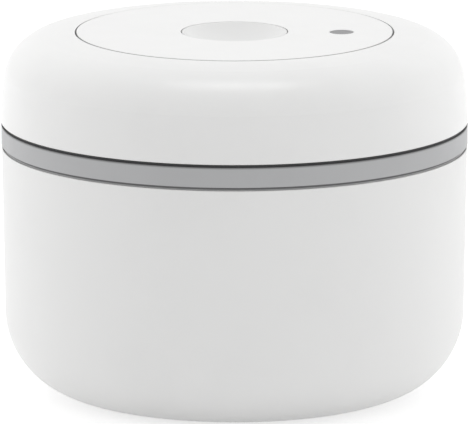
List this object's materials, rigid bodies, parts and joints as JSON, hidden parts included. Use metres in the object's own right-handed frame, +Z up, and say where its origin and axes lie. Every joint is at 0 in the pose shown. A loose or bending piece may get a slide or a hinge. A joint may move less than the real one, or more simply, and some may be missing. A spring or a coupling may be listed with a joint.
{
  "type": "vacuum seal canister",
  "caption": "Squat round food canister with a domed lid that is twisted to pump air out, a dished release button and a vacuum indicator in its flat top.",
  "frame": {"origin": "centre of the foot pad's underside, on the floor", "axes": "+Z up, +X towards the vacuum indicator in the lid, -Y towards the front that the picture shows"},
  "size_m": [0.1178, 0.1178, 0.0922],
  "materials": {
    "white_coat": "matte white coat on steel, bare inside",
    "white_plastic": "fine matte",
    "grey_plastic": "fine matte",
    "dot_plastic": "fine matte",
    "black_plastic": "matte",
    "pump_plastic": "satin",
    "bearing_plastic": "smooth and waxy",
    "green_plastic": "smooth",
    "grey_silicone": "soft matte",
    "clear_silicone": "milky",
    "black_rubber": "matte",
    "filter_felt": "felt",
    "screw_steel": "bright",
    "spring_steel": "drawn wire"
  },
  "bodies": {
    "canister": {"canister_body": "white_coat", "base_pad": "grey_silicone"},
    "lid": {"lid_base": "grey_plastic", "lid_gasket": "clear_silicone", "glide_ring": "black_plastic", "bottom_cover": "grey_plastic", "cover_screws": "screw_steel", "filter_cap": "grey_plastic", "filter_disc": "filter_felt", "pump_barrel_right": "pump_plastic", "pump_barrel_left": "pump_plastic", "pump_screws": "screw_steel", "inlet_valve_right": "clear_silicone", "inlet_valve_left": "clear_silicone", "thrust_washer_lower": "bearing_plastic", "thrust_washer_upper": "bearing_plastic", "top_plate": "white_plastic", "top_plate_screws": "screw_steel", "indicator_housing": "pump_plastic", "indicator_sleeve": "green_plastic", "indicator_diaphragm": "clear_silicone", "indicator_spring": "spring_steel", "release_spring": "spring_steel"},
    "dome": {"lid_shell": "white_plastic", "drive_spider": "pump_plastic", "drive_gear": "bearing_plastic", "shell_screws": "screw_steel"},
    "piston_right": {"piston_rack_right": "bearing_plastic", "piston_seal_right": "black_rubber"},
    "piston_left": {"piston_rack_left": "bearing_plastic", "piston_seal_left": "black_rubber"},
    "button": {"release_button": "white_plastic", "release_stem": "bearing_plastic", "release_seal": "black_rubber"},
    "indicator": {"indicator_plunger": "dot_plastic"}
  },
  "joints": [
    {"name": "lid_lift", "type": "slide", "parent": "canister", "child": "lid", "axis": [0, 0, 1], "range_m": [0, 0.1]},
    {"name": "dome_twist", "type": "hinge", "parent": "lid", "child": "dome", "pos_m": [0, 0, 0.06], "axis": [0, 0, 1], "range_deg": [-45, 45]},
    {"name": "piston_right_slide", "type": "slide", "parent": "lid", "child": "piston_right", "axis": [0, 1, 0], "range_m": [-0.00942, 0.00942]},
    {"name": "piston_left_slide", "type": "slide", "parent": "lid", "child": "piston_left", "axis": [0, -1, 0], "range_m": [-0.00942, 0.00942]},
    {"name": "button_press", "type": "slide", "parent": "lid", "child": "button", "axis": [0, 0, -1], "range_m": [0, 0.003], "stiffness_N_per_m": 800, "springref_m": -0.005, "deforming": ["release_spring"]},
    {"name": "indicator_drop", "type": "slide", "parent": "lid", "child": "indicator", "axis": [0, 0, -1], "range_m": [0, 0.0025], "stiffness_N_per_m": 200, "springref_m": -0.002, "deforming": ["indicator_spring", "indicator_diaphragm"]}
  ],
  "couplings": [
    {"joint": "piston_right_slide", "follows": "dome_twist", "m_per_rad": 0.012},
    {"joint": "piston_left_slide", "follows": "dome_twist", "m_per_rad": 0.012}
  ]
}
